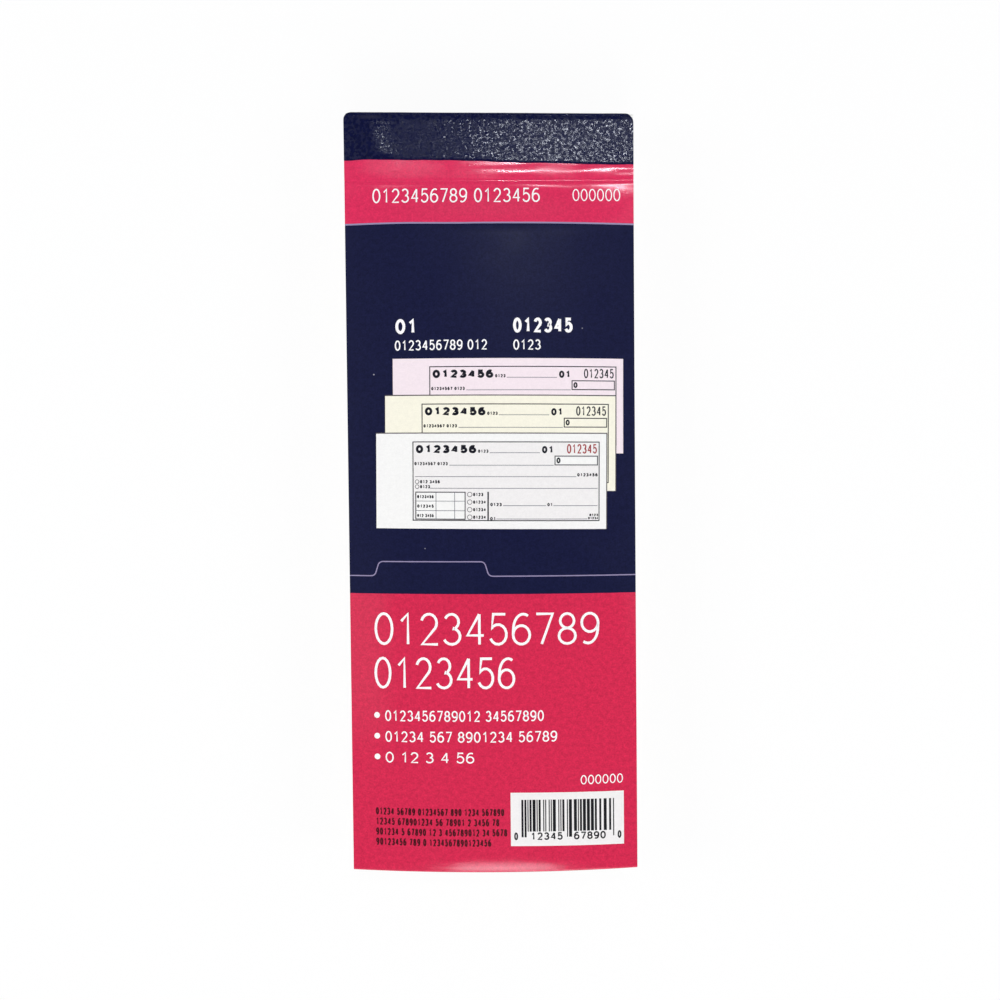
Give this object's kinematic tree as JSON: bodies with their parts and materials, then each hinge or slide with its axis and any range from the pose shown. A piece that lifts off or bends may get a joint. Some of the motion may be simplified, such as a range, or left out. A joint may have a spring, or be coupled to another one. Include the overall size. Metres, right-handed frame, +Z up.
{
  "type": "receipt book",
  "caption": "Top-bound receipt book: a bowed card cover with a turned-in writing shield opens over numbered multi-ply receipt leaves, stapled and taped to a chipboard back.",
  "frame": {"origin": "middle of the closed book's outline, on the underside that it lies on", "axes": "+X across the book, +Y along it towards the bound end, +Z up out of the cover"},
  "size_m": [0.0698, 0.184, 0.0178],
  "materials": {
    "printed_card": "gloss",
    "chipboard": "matte",
    "set_paper": "matte",
    "white_paper": "matte",
    "canary_paper": "matte",
    "pink_paper": "matte",
    "binding_tape": "satin",
    "staple_wire": "satin"
  },
  "bodies": {
    "book_block": {"back_cover": "chipboard", "receipt_set_50": "set_paper", "receipt_set_49": "set_paper", "receipt_set_48": "set_paper", "receipt_set_47": "set_paper", "receipt_set_46": "set_paper", "receipt_set_45": "set_paper", "receipt_set_44": "set_paper", "receipt_set_43": "set_paper", "receipt_set_42": "set_paper", "receipt_set_41": "set_paper", "receipt_set_40": "set_paper", "receipt_set_39": "set_paper", "receipt_set_38": "set_paper", "receipt_set_37": "set_paper", "receipt_set_36": "set_paper", "receipt_set_35": "set_paper", "receipt_set_34": "set_paper", "receipt_set_33": "set_paper", "receipt_set_32": "set_paper", "receipt_set_31": "set_paper", "receipt_set_30": "set_paper", "receipt_set_29": "set_paper", "receipt_set_28": "set_paper", "receipt_set_27": "set_paper", "receipt_set_26": "set_paper", "receipt_set_25": "set_paper", "receipt_set_24": "set_paper", "receipt_set_23": "set_paper", "receipt_set_22": "set_paper", "receipt_set_21": "set_paper", "receipt_set_20": "set_paper", "receipt_set_19": "set_paper", "receipt_set_18": "set_paper", "receipt_set_17": "set_paper", "receipt_set_16": "set_paper", "receipt_set_15": "set_paper", "receipt_set_14": "set_paper", "receipt_set_13": "set_paper", "receipt_set_12": "set_paper", "receipt_set_11": "set_paper", "receipt_set_10": "set_paper", "receipt_set_09": "set_paper", "receipt_set_08": "set_paper", "receipt_set_07": "set_paper", "receipt_set_06": "set_paper", "receipt_set_05": "set_paper", "bound_stubs": "set_paper", "front_cover_binding_strip": "printed_card", "spine_tape": "binding_tape", "staple_left": "staple_wire", "staple_right": "staple_wire"},
    "cover_body": {"front_cover": "printed_card"},
    "shield_body": {"writing_shield": "printed_card"},
    "white_original_01_body": {"white_original_01": "white_paper"},
    "canary_copy_01_body": {"canary_copy_01": "canary_paper"},
    "pink_copy_01_body": {"pink_copy_01": "pink_paper"},
    "receipt_set_02_body": {"receipt_set_02": "set_paper"},
    "receipt_set_03_body": {"receipt_set_03": "set_paper"},
    "receipt_set_04_body": {"receipt_set_04": "set_paper"}
  },
  "joints": [
    {"name": "front_cover_hinge", "type": "hinge", "parent": "book_block", "child": "cover_body", "pos_m": [0, 0.07611, 0.0138], "axis": [-1, 0, 0], "range_deg": [0, 165]},
    {"name": "white_original_01_turn", "type": "hinge", "parent": "book_block", "child": "white_original_01_body", "pos_m": [0, 0.07611, 0.0138], "axis": [-1, 0, 0], "range_deg": [0, 132.05]},
    {"name": "canary_copy_01_turn", "type": "hinge", "parent": "book_block", "child": "canary_copy_01_body", "pos_m": [0, 0.07611, 0.0138], "axis": [-1, 0, 0], "range_deg": [0, 115.55]},
    {"name": "pink_copy_01_turn", "type": "hinge", "parent": "book_block", "child": "pink_copy_01_body", "pos_m": [0, 0.07611, 0.0138], "axis": [-1, 0, 0], "range_deg": [0, 99.05]},
    {"name": "receipt_set_02_turn", "type": "hinge", "parent": "book_block", "child": "receipt_set_02_body", "pos_m": [0, 0.07611, 0.0138], "axis": [-1, 0, 0], "range_deg": [0, 79.25]},
    {"name": "receipt_set_03_turn", "type": "hinge", "parent": "book_block", "child": "receipt_set_03_body", "pos_m": [0, 0.07611, 0.0138], "axis": [-1, 0, 0], "range_deg": [0, 59.45]},
    {"name": "receipt_set_04_turn", "type": "hinge", "parent": "book_block", "child": "receipt_set_04_body", "pos_m": [0, 0.07611, 0.0138], "axis": [-1, 0, 0], "range_deg": [0, 39.65]},
    {"name": "writing_shield_fold", "type": "hinge", "parent": "cover_body", "child": "shield_body", "pos_m": [0, -0.09131, 0.01355], "axis": [-1, 0, 0], "range_deg": [0, 33.05]}
  ],
  "couplings": [
    {"joint": "white_original_01_turn", "follows": "front_cover_hinge", "ratio": 0.8},
    {"joint": "canary_copy_01_turn", "follows": "front_cover_hinge", "ratio": 0.7},
    {"joint": "pink_copy_01_turn", "follows": "front_cover_hinge", "ratio": 0.6},
    {"joint": "receipt_set_02_turn", "follows": "front_cover_hinge", "ratio": 0.48},
    {"joint": "receipt_set_03_turn", "follows": "front_cover_hinge", "ratio": 0.36},
    {"joint": "receipt_set_04_turn", "follows": "front_cover_hinge", "ratio": 0.24},
    {"joint": "writing_shield_fold", "follows": "front_cover_hinge", "ratio": 0.2}
  ]
}
